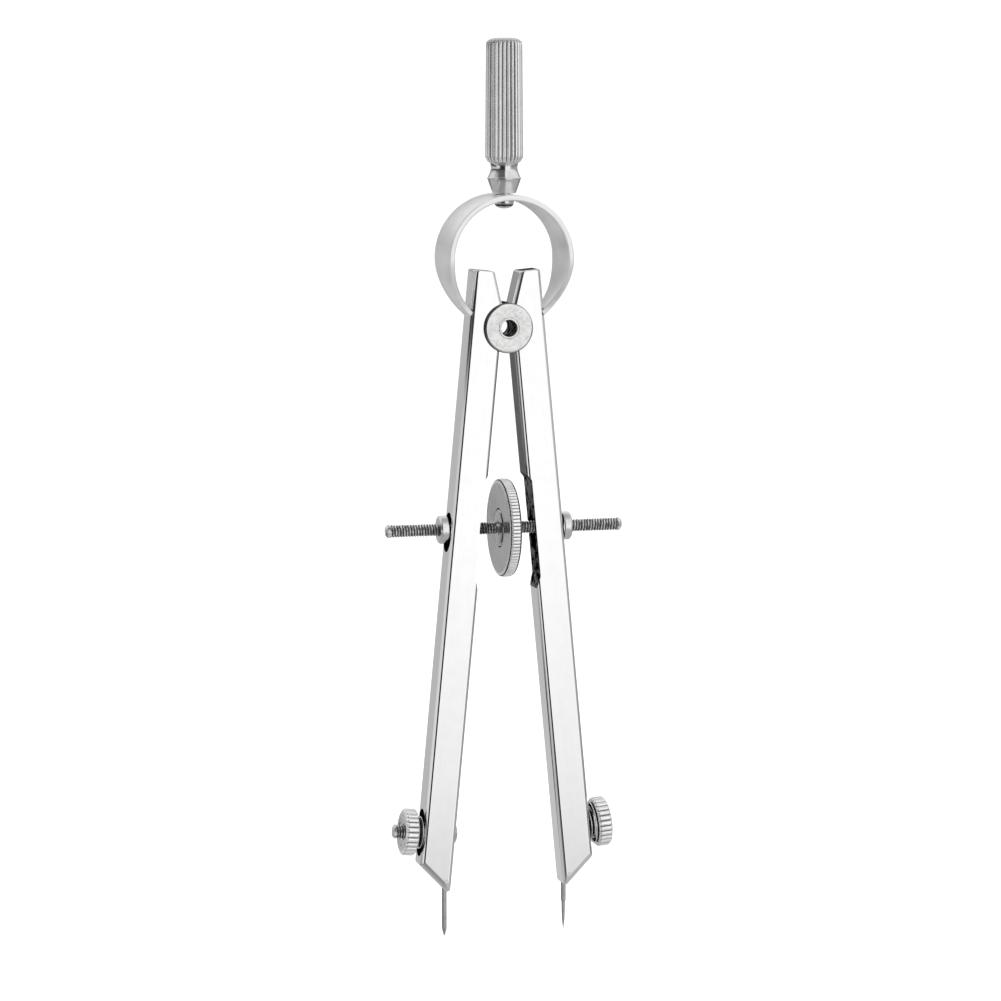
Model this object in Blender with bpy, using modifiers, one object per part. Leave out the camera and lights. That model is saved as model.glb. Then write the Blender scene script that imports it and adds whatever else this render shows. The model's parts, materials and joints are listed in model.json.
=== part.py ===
"""Spring bow divider: a centre-wheel drawing compass with two needle legs.

Frame: +Z up, origin on the paper midway between the needle points, -Y towards the user.
A leg is designed in its own axes with its origin on the hinge: u points outwards across
the leg and v runs down along it. Lengths are in millimetres times MM, so in metres.
"""
import math

import bmesh
import bpy
from mathutils import Matrix, Vector

MM = 0.001

# Driving dimensions
TOTAL_HEIGHT = 160.0 * MM
PIVOT_Z = 109.3 * MM
LEG_ANGLE = math.radians(5.37)

# Legs
LEG_INNER = 1.03 * MM
LEG_OUTER = 6.94 * MM
LEG_THICKNESS = 5.7 * MM
LEG_FILLET = 0.72 * MM
LEG_TOP = -9.7 * MM
TOP_INNER = 3.2 * MM
TOP_SLANT_END = -3.3 * MM
OUTER_END = 96.85 * MM
TIP_U = 2.0 * MM
TIP_V = 101.15 * MM
INNER_END = 101.4 * MM
RECESS_DEPTH = 0.8 * MM
RECESS_START = 26.2 * MM
RECESS_END = 46.9 * MM
RECESS_UPPER_RAMP = 1.2 * MM
RECESS_LOWER_RAMP = 2.2 * MM
NOTCH_START = -2.75 * MM
NOTCH_END = -1.05 * MM
NOTCH_DEPTH = 0.5 * MM

# Fulcrum between the legs, all turned about Y
ROLLER_R = 2.4 * MM
ROLLER_SEAT_R = 2.55 * MM
RIVET_R = 1.8 * MM
RIVET_BORE_R = 1.42 * MM
DISC_R = 4.43 * MM
DISC_INNER_Y = LEG_THICKNESS / 2 + 0.1 * MM
DISC_OUTER_Y = 3.5 * MM
RUNNING_GAP = 0.12 * MM

# Hoop spring
RING_Z = PIVOT_Z + 12.15 * MM
RING_MID_R = 10.8 * MM
RING_WALL = 1.0 * MM
RING_WIDTH = 11.0 * MM
RING_END_WIDTH = 4.6 * MM
RING_END_GROWTH = 0.85 * MM
RING_TAPER_START = math.radians(88)
RING_END_ANGLE = math.radians(148)
RING_END_X = 7.06 * MM
RING_STEPS = 60

# Handle
GRIP_TOP_R = 3.22 * MM
GRIP_BOTTOM_R = 3.4 * MM
GRIP_BOTTOM_Z = PIVOT_Z + 28.9 * MM
FLANGE_Z = PIVOT_Z + 26.15 * MM
FLANGE_R = 2.97 * MM
WAIST_R = 2.4 * MM
NECK_R = 2.0 * MM
SCREW_R = 1.1 * MM
SCREW_HEAD_R = 1.75 * MM

# Spindle, wheel and collar nuts, all turned about X
SPINDLE_Z = PIVOT_Z - 35.75 * MM
SPINDLE_R = 1.15 * MM
SPINDLE_HALF = 21.65 * MM
WHEEL_R = 8.75 * MM
WHEEL_HALF = 1.08 * MM
HUB_R = 3.3 * MM
HUB_HALF = 1.25 * MM
NUT_R = 2.5 * MM
NUT_FACE_X = 10.05 * MM
NUT_LENGTH = 2.05 * MM
NUT_SEAT = 0.6 * MM
NUT_NOSE = 0.9 * MM
NUT_NOSE_R = 1.5 * MM
SLOT_START = 33.8 * MM
SLOT_END = 40.3 * MM
SLOT_WIDTH = 3.5 * MM
SEAT_MARGIN = 0.3 * MM
SEAT_WIDTH = 4.6 * MM
SEAT_DEPTH = 0.6 * MM

# Needle clamps, turned about the leg's u axis
CLAMP_V = 91.2 * MM
POCKET_LENGTH = 8.6 * MM
POCKET_WIDTH = 4.3 * MM
POCKET_DEPTH = 1.2 * MM
CLAMP_BORE_R = 1.5 * MM
STUD_R = 1.3 * MM
STUD_END = 12.05 * MM
SHANK_R = 1.1 * MM
EYE_R = 1.35 * MM
WASHER_R = 2.9 * MM
WASHER_THICKNESS = 0.4 * MM
HEAD_U = LEG_OUTER + RUNNING_GAP + WASHER_THICKNESS + 0.1 * MM
THUMB_NUT_R = 4.2 * MM
THUMB_SCREW_R = 4.45 * MM

# Needles, upright at rest
NEEDLE_X = 11.1 * MM
NEEDLE_R = 0.43 * MM
NEEDLE_HOLE_R = 0.56 * MM
NEEDLE_TOP_Z = 31.0 * MM
NEEDLE_HOLE_TOP_Z = 38.5 * MM

MERGE = 0.00001

SATIN_NICKEL = ("satin_nickel", (0.62, 0.62, 0.61), 0.34)
SPRING_STEEL = ("spring_steel", (0.60, 0.60, 0.60), 0.30)
POLISHED_CHROME = ("polished_chrome", (0.86, 0.86, 0.87), 0.08)
PLATED_FITTING = ("plated_fitting", (0.66, 0.66, 0.66), 0.25)
WHEEL_STEEL = ("wheel_steel", (0.50, 0.50, 0.50), 0.30)
THREAD_STEEL = ("thread_steel", (0.24, 0.24, 0.25), 0.38)
NEEDLE_STEEL = ("needle_steel", (0.42, 0.42, 0.43), 0.25)


def clear_scene():
    for old in list(bpy.data.objects):
        bpy.data.objects.remove(old, do_unlink=True)


def make_collection(name):
    group = bpy.data.collections.new(name)
    bpy.context.scene.collection.children.link(group)
    return group


def metal(look):
    name, colour, roughness = look
    found = bpy.data.materials.get(name)
    if found:
        return found
    made = bpy.data.materials.new(name)
    made.use_nodes = True
    shader = made.node_tree.nodes["Principled BSDF"]
    shader.inputs["Base Color"].default_value = (*colour, 1.0)
    shader.inputs["Metallic"].default_value = 1.0
    shader.inputs["Roughness"].default_value = roughness
    return made


def add_part(name, mesh, look, parent=None):
    made = bpy.data.objects.new(name, mesh)
    PARTS.objects.link(made)
    mesh.materials.clear()
    mesh.materials.append(metal(look))
    made.parent = parent
    return made


def add_cutter(name, mesh, parent=None):
    made = bpy.data.objects.new(name, mesh)
    CUTTERS.objects.link(made)
    made.hide_render = True
    made.display_type = "WIRE"
    made.parent = parent
    return made


def cut(target, cutter):
    step = target.modifiers.new("cut_" + cutter.name, "BOOLEAN")
    step.operation = "DIFFERENCE"
    step.solver = "EXACT"
    step.object = cutter


def add_fillets(target, width, segments):
    """Rounds the edges by their bevel weights. The outline has no edge shorter than a fillet."""
    step = target.modifiers.new("fillets", "BEVEL")
    step.width = width
    step.segments = segments
    step.limit_method = "WEIGHT"
    step.use_clamp_overlap = False


def profile_mesh(name, profile, closed):
    """A profile of (radius, height) points at +X, outer side running down."""
    count = len(profile)
    edges = [(i, i + 1) for i in range(count - 1)]
    if closed:
        edges.append((count - 1, 0))
    mesh = bpy.data.meshes.new(name)
    mesh.from_pydata([(r, 0, h) for r, h in profile], edges, [])
    return mesh


def add_screw(target, steps):
    turn = target.modifiers.new("turn", "SCREW")
    turn.steps = steps
    turn.render_steps = steps
    turn.use_merge_vertices = True
    turn.merge_threshold = MERGE
    turn.use_smooth_shade = True


def turned(name, profile, look, steps=32, bored=False, parent=None):
    """A turned solid: profile from the top end, down the outer side, to the bottom end."""
    made = add_part(name, profile_mesh(name, profile, bored), look, parent)
    add_screw(made, steps)
    return made


def turned_cutter(name, radius, low, high, steps=24, parent=None):
    profile = [(0, high), (radius, high), (radius, low), (0, low)]
    made = add_cutter(name, profile_mesh(name, profile, False), parent)
    add_screw(made, steps)
    return made


def box_cutter(name, low, high, parent=None):
    """A box between two corners given in the parent's axes."""
    low, high = Vector(low), Vector(high)
    mesh = bpy.data.meshes.new(name)
    shape = bmesh.new()
    place = Matrix.Translation((low + high) / 2) @ Matrix.Diagonal((*(high - low), 1.0))
    bmesh.ops.create_cube(shape, size=1.0, matrix=place)
    shape.to_mesh(mesh)
    shape.free()
    return add_cutter(name, mesh, parent)


def prism_mesh(name, outline, half_depth):
    """A flat outline in X and Z, made solid from -half_depth to +half_depth in Y."""
    curve = bpy.data.curves.new(name, "CURVE")
    curve.dimensions = "2D"
    curve.fill_mode = "BOTH"
    curve.extrude = half_depth
    spline = curve.splines.new("POLY")
    spline.points.add(len(outline) - 1)
    for point, (x, z) in zip(spline.points, outline):
        point.co = (x, z, 0, 1)
    spline.use_cyclic_u = True
    flat = bpy.data.objects.new(name + "_outline", curve)
    bpy.context.scene.collection.objects.link(flat)
    bpy.context.view_layer.update()
    seen = flat.evaluated_get(bpy.context.evaluated_depsgraph_get())
    mesh = bpy.data.meshes.new_from_object(seen)
    bpy.data.objects.remove(flat)
    bpy.data.curves.remove(curve)
    shape = bmesh.new()
    shape.from_mesh(mesh)
    bmesh.ops.remove_doubles(shape, verts=shape.verts, dist=MERGE)
    bmesh.ops.dissolve_limit(shape, angle_limit=0.001, verts=shape.verts, edges=shape.edges)
    bmesh.ops.rotate(shape, verts=shape.verts, matrix=Matrix.Rotation(math.pi / 2, 3, "X"))
    bmesh.ops.recalc_face_normals(shape, faces=shape.faces)
    shape.to_mesh(mesh)
    shape.free()
    return mesh


def stadium(centre_x, start, end, width, steps=8):
    """Outline of a slot along Z with round ends, as (x, z) points."""
    radius = width / 2
    points = []
    for centre_z, first in ((end - radius, 0.0), (start + radius, math.pi)):
        for i in range(steps + 1):
            angle = first + math.pi * i / steps
            points.append((centre_x + radius * math.cos(angle), centre_z + radius * math.sin(angle)))
    return points


def slot_cutter(name, side, start, end, width, low_u, high_u, parent):
    """A round-ended slot through the leg along u, from v=start to v=end."""
    outline = stadium(0, -end, -start, width)
    made = add_cutter(name, prism_mesh(name, outline, (high_u - low_u) / 2), parent)
    made.rotation_euler = (0, 0, math.pi / 2)
    made.location = (side * (low_u + high_u) / 2, 0, 0)
    return made


def leg_outline(side):
    """The leg seen from the front, as (x, z) points in its own axes."""
    points = [
        (TOP_INNER, LEG_TOP),
        (LEG_OUTER, LEG_TOP),
        (LEG_OUTER, OUTER_END),
        (TIP_U, TIP_V),
        (LEG_INNER, INNER_END),
        (LEG_INNER, TOP_SLANT_END),
    ]
    return [(side * u, -v) for u, v in points]


def recess_outline(side):
    """The shallow recess beside the wheel, open on the leg's inner side."""
    outside_u = LEG_INNER - 1 * MM
    floor_u = LEG_INNER + RECESS_DEPTH
    upper_slope = RECESS_UPPER_RAMP / RECESS_DEPTH
    lower_slope = RECESS_LOWER_RAMP / RECESS_DEPTH
    points = [
        (outside_u, RECESS_START - upper_slope * MM),
        (floor_u, RECESS_START + RECESS_UPPER_RAMP),
        (floor_u, RECESS_END - RECESS_LOWER_RAMP),
        (outside_u, RECESS_END + lower_slope * MM),
    ]
    return [(side * u, -v) for u, v in points]


def weigh_leg_edges(mesh):
    """Full fillets along the leg, small ones at its top and across its corners."""
    half = LEG_THICKNESS / 2
    weight = mesh.attributes.new("bevel_weight_edge", "FLOAT", "EDGE")
    for edge in mesh.edges:
        a, b = (mesh.vertices[i].co for i in edge.vertices)
        across = abs(a.y - b.y) > half
        at_top = min(a.z, b.z) > -LEG_TOP - 0.1 * MM
        near_tip = across and a.z < -TIP_V + MERGE
        at_slant_end = across and abs(a.z + TOP_SLANT_END) < MERGE
        if near_tip or at_slant_end:
            weight.data[edge.index].value = 0.0
        elif across or at_top:
            weight.data[edge.index].value = 0.35
        else:
            weight.data[edge.index].value = 1.0


def place_along_x(made, side, u=0.0, v=0.0):
    """Turns a part so that its height runs outwards along u, with its origin at (u, v)."""
    made.rotation_euler = (0, side * math.pi / 2, 0)
    made.location = (side * u, 0, -v)


def place_upright(made, side, parent, height=0.0):
    """Stands a part on the paper at the needle's place, although it hangs from a tilted leg."""
    made.parent = parent
    wanted = Matrix.Translation((side * NEEDLE_X, 0, height))
    made.matrix_local = leg_matrix(side).inverted() @ wanted


def leg_matrix(side):
    return Matrix.Translation((0, 0, PIVOT_Z)) @ Matrix.Rotation(-side * LEG_ANGLE, 4, "Y")


def make_leg(name, side):
    mesh = prism_mesh(name, leg_outline(side), LEG_THICKNESS / 2)
    weigh_leg_edges(mesh)
    leg = add_part(name, mesh, POLISHED_CHROME)
    leg.location = (0, 0, PIVOT_Z)
    leg.rotation_euler = (0, -side * LEG_ANGLE, 0)
    add_fillets(leg, LEG_FILLET, 3)
    return leg


def cut_leg(leg, side):
    """Wheel recess, roller seat, spindle slot, spring notch, clamp pocket and needle hole."""
    name = leg.name
    recess = prism_mesh(name + "_recess", recess_outline(side), LEG_THICKNESS / 2 + 1 * MM)
    cut(leg, add_cutter(name + "_recess", recess, leg))
    seat = turned_cutter(name + "_seat", ROLLER_SEAT_R, -4 * MM, 4 * MM, 32, leg)
    seat.rotation_euler = (math.pi / 2, 0, 0)
    cut(leg, seat)
    beyond = LEG_OUTER + 1 * MM
    cut(leg, slot_cutter(name + "_slot", side, SLOT_START, SLOT_END, SLOT_WIDTH, 0, beyond, leg))
    start, end = SLOT_START - SEAT_MARGIN, SLOT_END + SEAT_MARGIN
    floor_u = LEG_OUTER - SEAT_DEPTH
    cut(leg, slot_cutter(name + "_nut_seat", side, start, end, SEAT_WIDTH, floor_u, beyond, leg))
    low_x, high_x = sorted((side * (LEG_OUTER - NOTCH_DEPTH), side * beyond))
    notch_low = (low_x, -LEG_THICKNESS, -NOTCH_END)
    notch_high = (high_x, LEG_THICKNESS, -NOTCH_START)
    cut(leg, box_cutter(name + "_notch", notch_low, notch_high, leg))
    start, end = CLAMP_V - POCKET_LENGTH / 2, CLAMP_V + POCKET_LENGTH / 2
    floor_u = LEG_OUTER - POCKET_DEPTH
    pocket = slot_cutter(name + "_pocket", side, start, end, POCKET_WIDTH, floor_u, beyond, leg)
    cut(leg, pocket)
    hole = turned_cutter(name + "_needle_hole", NEEDLE_HOLE_R, 0, NEEDLE_HOLE_TOP_Z, 20)
    place_upright(hole, side, leg)
    cut(leg, hole)


def cut_clamp_bore(leg, side, low_u):
    bore = turned_cutter(leg.name + "_clamp_bore", CLAMP_BORE_R, low_u, 8 * MM, 24, leg)
    place_along_x(bore, side, 0, CLAMP_V)
    cut(leg, bore)


def make_ring_spring():
    """Flat hoop, opened out and narrowed towards its two ends, bored for the handle's screw."""
    rows = []
    shape = bmesh.new()
    for i in range(RING_STEPS + 1):
        angle = RING_END_ANGLE * (2 * i / RING_STEPS - 1)
        late = max(0.0, (abs(angle) - RING_TAPER_START) / (RING_END_ANGLE - RING_TAPER_START))
        radius = RING_MID_R + RING_END_GROWTH * late**2
        smooth = late * late * (3 - 2 * late)
        half = (RING_WIDTH + (RING_END_WIDTH - RING_WIDTH) * smooth) / 2
        x, z = radius * math.sin(angle), radius * math.cos(angle)
        rows.append([shape.verts.new((x, y, z)) for y in (-half, half)])
    for a, b in zip(rows, rows[1:]):
        shape.faces.new((a[0], b[0], b[1], a[1]))
    bmesh.ops.recalc_face_normals(shape, faces=shape.faces)
    mesh = bpy.data.meshes.new("ring_spring")
    shape.to_mesh(mesh)
    shape.free()
    ring = add_part("ring_spring", mesh, SPRING_STEEL)
    ring.location = (0, 0, RING_Z)
    wall = ring.modifiers.new("wall", "SOLIDIFY")
    wall.thickness = RING_WALL
    wall.offset = 0
    wall.use_even_offset = True
    bore = turned_cutter("ring_bore", SCREW_R + RUNNING_GAP, 8 * MM, 14 * MM, 24, ring)
    cut(ring, bore)
    trim_low = (-RING_END_X, -8 * MM, -14 * MM)
    trim_high = (RING_END_X, 8 * MM, -6 * MM)
    cut(ring, box_cutter("ring_trim", trim_low, trim_high, ring))


def make_handle():
    """Grip, waist, flange and neck in one turned piece, drilled for the screw below.

    The handle and its screw have world heights in their profiles, so they stay at the origin.
    """
    top = TOTAL_HEIGHT
    ring_top = RING_Z + RING_MID_R + RING_WALL / 2
    foot = ring_top + RUNNING_GAP
    hole_r = SCREW_R + RUNNING_GAP
    profile = [
        (0, top),
        (1.3 * MM, top),
        (2.4 * MM, top - 0.25 * MM),
        (GRIP_TOP_R - 0.12 * MM, top - 0.8 * MM),
        (GRIP_TOP_R, top - 1.4 * MM),
        (GRIP_BOTTOM_R, GRIP_BOTTOM_Z + 1.0 * MM),
        (GRIP_BOTTOM_R - 0.5 * MM, GRIP_BOTTOM_Z + 0.15 * MM),
        (WAIST_R + 0.05 * MM, GRIP_BOTTOM_Z),
        (WAIST_R - 0.05 * MM, GRIP_BOTTOM_Z - 0.9 * MM),
        (WAIST_R, FLANGE_Z + 1.0 * MM),
        (FLANGE_R, FLANGE_Z + 0.1 * MM),
        (FLANGE_R, FLANGE_Z - 0.15 * MM),
        (NECK_R + 0.06 * MM, foot + 0.25 * MM),
        (NECK_R, foot),
        (hole_r, foot),
        (hole_r, foot + 7 * MM),
        (0, foot + 7.6 * MM),
    ]
    turned("handle", profile, SATIN_NICKEL, 40)


def make_handle_screw():
    """Round-headed screw that holds the handle to the hoop, head inside the hoop."""
    seat = RING_Z + RING_MID_R - RING_WALL / 2 - RUNNING_GAP
    tip = seat + 7 * MM
    profile = [
        (0, tip),
        (SCREW_R - 0.3 * MM, tip),
        (SCREW_R, tip - 0.4 * MM),
        (SCREW_R, seat),
        (SCREW_HEAD_R, seat),
        (SCREW_HEAD_R, seat - 0.3 * MM),
        (SCREW_HEAD_R - 0.35 * MM, seat - 0.85 * MM),
        (0.8 * MM, seat - 1.15 * MM),
        (0, seat - 1.2 * MM),
    ]
    turned("handle_screw", profile, PLATED_FITTING, 24)


def make_fulcrum():
    """Roller that the legs bear on, its tubular rivet, and the two retaining discs."""
    roller_half = LEG_THICKNESS / 2
    bore = RIVET_R + RUNNING_GAP
    tube = [
        (ROLLER_R, roller_half),
        (ROLLER_R, -roller_half),
        (bore, -roller_half),
        (bore, roller_half),
    ]
    lip = DISC_OUTER_Y + 0.04 * MM
    rivet = [
        (RIVET_BORE_R + 0.12 * MM, lip),
        (RIVET_R + 0.3 * MM, lip),
        (RIVET_R + 0.3 * MM, lip - 0.15 * MM),
        (RIVET_R, lip - 0.45 * MM),
        (RIVET_R, 0.45 * MM - lip),
        (RIVET_R + 0.3 * MM, 0.15 * MM - lip),
        (RIVET_R + 0.3 * MM, -lip),
        (RIVET_BORE_R + 0.12 * MM, -lip),
        (RIVET_BORE_R, 0.15 * MM - lip),
        (RIVET_BORE_R, lip - 0.15 * MM),
    ]
    across_y = (math.pi / 2, 0, 0)
    for name, profile, look in (
        ("fulcrum_roller", tube, SPRING_STEEL),
        ("pivot_rivet", rivet, PLATED_FITTING),
    ):
        made = turned(name, profile, look, 32, bored=True)
        made.rotation_euler = across_y
        made.location = (0, 0, PIVOT_Z)
    make_disc("pivot_disc_front", math.pi / 2)
    make_disc("pivot_disc_rear", -math.pi / 2)


def make_disc(name, turn_x):
    """Retaining disc with a countersunk bore, its height pointing away from the legs."""
    bore = RIVET_R + RUNNING_GAP
    wide = RIVET_R + 0.3 * MM + RUNNING_GAP
    profile = [
        (wide, DISC_OUTER_Y),
        (DISC_R - 0.15 * MM, DISC_OUTER_Y),
        (DISC_R, DISC_OUTER_Y - 0.12 * MM),
        (DISC_R, DISC_INNER_Y),
        (bore, DISC_INNER_Y),
        (bore, DISC_INNER_Y + 0.06 * MM),
        (wide, DISC_OUTER_Y - 0.2 * MM),
    ]
    disc = turned(name, profile, SATIN_NICKEL, 48, bored=True)
    disc.rotation_euler = (turn_x, 0, 0)
    disc.location = (0, 0, PIVOT_Z)


def make_spindle():
    """Spindle, with its wheel pressed on through a hub."""
    end = SPINDLE_HALF
    chamfer = 0.45 * MM
    rod = [
        (0, end),
        (SPINDLE_R - chamfer, end),
        (SPINDLE_R, end - chamfer),
        (SPINDLE_R, chamfer - end),
        (SPINDLE_R - chamfer, -end),
        (0, -end),
    ]
    hub_bore = SPINDLE_R + RUNNING_GAP
    hub = [
        (HUB_R - 0.2 * MM, HUB_HALF),
        (HUB_R, HUB_HALF - 0.2 * MM),
        (HUB_R, 0.2 * MM - HUB_HALF),
        (HUB_R - 0.2 * MM, -HUB_HALF),
        (hub_bore, -HUB_HALF),
        (hub_bore, HUB_HALF),
    ]
    wheel_bore = HUB_R + RUNNING_GAP
    wheel = [
        (wheel_bore, WHEEL_HALF),
        (WHEEL_R - 0.4 * MM, WHEEL_HALF),
        (WHEEL_R, WHEEL_HALF - 0.3 * MM),
        (WHEEL_R, 0.3 * MM - WHEEL_HALF),
        (WHEEL_R - 0.4 * MM, -WHEEL_HALF),
        (wheel_bore, -WHEEL_HALF),
    ]
    for made in (
        turned("spindle", rod, THREAD_STEEL, 24),
        turned("wheel_hub", hub, PLATED_FITTING, 32, bored=True),
        turned("adjusting_wheel", wheel, WHEEL_STEEL, 64, bored=True),
    ):
        made.rotation_euler = (0, math.pi / 2, 0)
        made.location = (0, 0, SPINDLE_Z)


def make_collar_nut(name, side):
    """Collar outside the leg, with a coned seat in the leg's countersink and a nose in its slot."""
    bore = SPINDLE_R + RUNNING_GAP
    profile = [
        (bore, NUT_LENGTH),
        (NUT_R - 0.35 * MM, NUT_LENGTH),
        (NUT_R, NUT_LENGTH - 0.35 * MM),
        (NUT_R, NUT_SEAT),
        (NUT_R - 0.25 * MM, NUT_SEAT - 0.23 * MM),
        (1.9 * MM, 0),
        (NUT_NOSE_R, 0),
        (NUT_NOSE_R - 0.1 * MM, -NUT_NOSE),
        (bore, -NUT_NOSE),
    ]
    nut = turned(name, profile, PLATED_FITTING, 32, bored=True)
    nut.rotation_euler = (0, side * math.pi / 2, 0)
    nut.location = (side * NUT_FACE_X, 0, SPINDLE_Z)


def make_washer(name, side, leg):
    low = LEG_OUTER + RUNNING_GAP
    high = low + WASHER_THICKNESS
    bore = STUD_R + RUNNING_GAP
    profile = [
        (bore, high),
        (WASHER_R - 0.4 * MM, high),
        (WASHER_R, low + 0.15 * MM),
        (WASHER_R, low),
        (bore, low),
    ]
    washer = turned(name, profile, PLATED_FITTING, 32, bored=True, parent=leg)
    place_along_x(washer, side, 0, CLAMP_V)


def make_eye_bolt(name, side, leg):
    """Bolt with its domed head inside, an eye that the needle passes through, and a stud."""
    inner = LEG_INNER - 0.1 * MM
    profile = [
        (0, STUD_END),
        (STUD_R - 0.35 * MM, STUD_END),
        (STUD_R, STUD_END - 0.35 * MM),
        (STUD_R, 5.4 * MM),
        (EYE_R, 5.1 * MM),
        (EYE_R, inner),
        (1.85 * MM, inner),
        (1.6 * MM, inner - 0.35 * MM),
        (0.8 * MM, inner - 0.6 * MM),
        (0, inner - 0.65 * MM),
    ]
    bolt = turned(name, profile, PLATED_FITTING, 24, parent=leg)
    place_along_x(bolt, side, 0, CLAMP_V)
    eye = turned_cutter(name + "_eye", NEEDLE_HOLE_R, 12 * MM, 26 * MM, 20)
    place_upright(eye, side, leg)
    cut(bolt, eye)


def make_thumb_nut(name, side, leg):
    bore = STUD_R + RUNNING_GAP
    low, face, top = HEAD_U, 7.98 * MM, 10.45 * MM
    rim = THUMB_NUT_R
    profile = [
        (bore, top - 0.25 * MM),
        (2.2 * MM, top - 0.2 * MM),
        (2.6 * MM, top),
        (rim - 0.6 * MM, top),
        (rim, top - 0.45 * MM),
        (rim, face + 0.35 * MM),
        (rim - 0.5 * MM, face),
        (2.75 * MM, face),
        (2.6 * MM, low),
        (bore, low),
    ]
    nut = turned(name, profile, PLATED_FITTING, 48, bored=True, parent=leg)
    place_along_x(nut, side, 0, CLAMP_V)


def make_thumb_screw(name, side, leg):
    """Knurled head, a thin flange below it, and a shank whose tip presses on the needle."""
    low, top = HEAD_U, 10.75 * MM
    rim = THUMB_SCREW_R
    profile = [
        (0, top - 0.2 * MM),
        (2.4 * MM, top - 0.2 * MM),
        (2.8 * MM, top),
        (rim - 0.6 * MM, top),
        (rim, top - 0.45 * MM),
        (rim, 8.45 * MM),
        (rim - 0.4 * MM, 8.15 * MM),
        (3.1 * MM, 8.15 * MM),
        (3.1 * MM, 7.95 * MM),
        (3.75 * MM, 7.9 * MM),
        (3.75 * MM, 7.75 * MM),
        (3.3 * MM, low),
        (SHANK_R, low),
        (SHANK_R, 3.9 * MM),
        (SHANK_R - 0.4 * MM, 3.5 * MM),
        (0, 3.5 * MM),
    ]
    screw = turned(name, profile, PLATED_FITTING, 48, parent=leg)
    place_along_x(screw, side, 0, CLAMP_V)


def make_needles(left_leg, right_leg):
    """A plain needle on the left and a shouldered one on the right, standing on the paper."""
    top = NEEDLE_TOP_Z
    plain = [
        (0, top),
        (NEEDLE_R, top),
        (NEEDLE_R, 1.1 * MM),
        (0.1 * MM, 0.05 * MM),
        (0, 0),
    ]
    shouldered = [
        (0, top),
        (NEEDLE_R, top),
        (NEEDLE_R, 5.2 * MM),
        (NEEDLE_R - 0.1 * MM, 4.9 * MM),
        (0.24 * MM, 1.6 * MM),
        (0.06 * MM, 0.05 * MM),
        (0, 0),
    ]
    left = turned("left_needle", plain, NEEDLE_STEEL, 16)
    right = turned("right_needle", shouldered, NEEDLE_STEEL, 16)
    place_upright(left, -1, left_leg)
    place_upright(right, 1, right_leg)


def build():
    make_handle()
    make_handle_screw()
    make_ring_spring()
    make_fulcrum()
    make_spindle()
    make_collar_nut("left_nut", -1)
    make_collar_nut("right_nut", 1)
    left_leg = make_leg("left_leg", -1)
    right_leg = make_leg("right_leg", 1)
    cut_leg(left_leg, -1)
    cut_leg(right_leg, 1)
    cut_clamp_bore(left_leg, -1, 0)
    cut_clamp_bore(right_leg, 1, 2.75 * MM)
    make_washer("left_clamp_washer", -1, left_leg)
    make_washer("right_clamp_washer", 1, right_leg)
    make_eye_bolt("left_clamp_bolt", -1, left_leg)
    make_thumb_nut("left_thumb_nut", -1, left_leg)
    make_thumb_screw("right_thumb_screw", 1, right_leg)
    make_needles(left_leg, right_leg)


clear_scene()
PARTS = make_collection("drawing_compass")
CUTTERS = make_collection("cutters")
build()
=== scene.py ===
import json
import math

import bmesh
import bpy
from mathutils import Matrix, Vector


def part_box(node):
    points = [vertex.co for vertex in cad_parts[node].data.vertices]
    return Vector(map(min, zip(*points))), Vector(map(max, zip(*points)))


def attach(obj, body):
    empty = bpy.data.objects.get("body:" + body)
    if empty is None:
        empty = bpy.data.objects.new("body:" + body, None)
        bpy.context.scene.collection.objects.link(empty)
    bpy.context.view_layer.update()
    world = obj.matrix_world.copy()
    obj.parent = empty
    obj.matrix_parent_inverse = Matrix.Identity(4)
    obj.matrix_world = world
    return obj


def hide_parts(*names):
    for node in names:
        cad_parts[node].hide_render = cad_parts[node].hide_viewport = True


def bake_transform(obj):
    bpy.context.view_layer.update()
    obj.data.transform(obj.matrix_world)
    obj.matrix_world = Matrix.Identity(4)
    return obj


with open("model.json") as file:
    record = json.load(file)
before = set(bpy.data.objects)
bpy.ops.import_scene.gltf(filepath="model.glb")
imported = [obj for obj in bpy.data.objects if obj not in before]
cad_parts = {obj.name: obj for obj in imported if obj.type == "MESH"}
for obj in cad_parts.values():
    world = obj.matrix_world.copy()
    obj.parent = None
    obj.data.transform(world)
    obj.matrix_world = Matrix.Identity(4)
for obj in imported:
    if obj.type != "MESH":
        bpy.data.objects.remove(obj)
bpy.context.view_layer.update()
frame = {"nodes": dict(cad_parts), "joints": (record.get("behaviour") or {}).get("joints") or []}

MM = 0.001
JOINTS = {joint["name"]: joint for joint in frame["joints"]}
PIVOT = Vector(JOINTS["left_leg_swing"]["pos_m"])
SPINDLE = Vector(JOINTS["wheel_spin"]["pos_m"])
CLAMP_JOINT = {-1: JOINTS["left_clamp_turn"], 1: JOINTS["right_clamp_turn"]}
CLAMP_AXIS = {side: Vector(joint["axis"]) for side, joint in CLAMP_JOINT.items()}
LEG_ANGLE = math.atan2(CLAMP_AXIS[1].z, CLAMP_AXIS[1].x)
LEG_BODY = {-1: "left_leg_assembly", 1: "right_leg_assembly"}
LEG_NODE = {-1: "left_leg", 1: "right_leg"}


# ---------------------------------------------------------------- places and sizes

def leg_frame(side):
    """From a leg's axes, with u along +X on the right leg, to the world."""
    return Matrix.Translation(PIVOT) @ Matrix.Rotation(-side * LEG_ANGLE, 4, "Y")


def axis_frame(origin, direction):
    """A frame at origin whose Z axis points along direction and whose Y axis stays level."""
    z = Vector(direction).normalized()
    x = Vector((0, 1, 0)).cross(z)
    if x.length < 0.01:
        x = Vector((1, 0, 0))
    x.normalize()
    y = z.cross(x)
    turn = Matrix((x, y, z)).transposed().to_4x4()
    return Matrix.Translation(origin) @ turn


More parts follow.
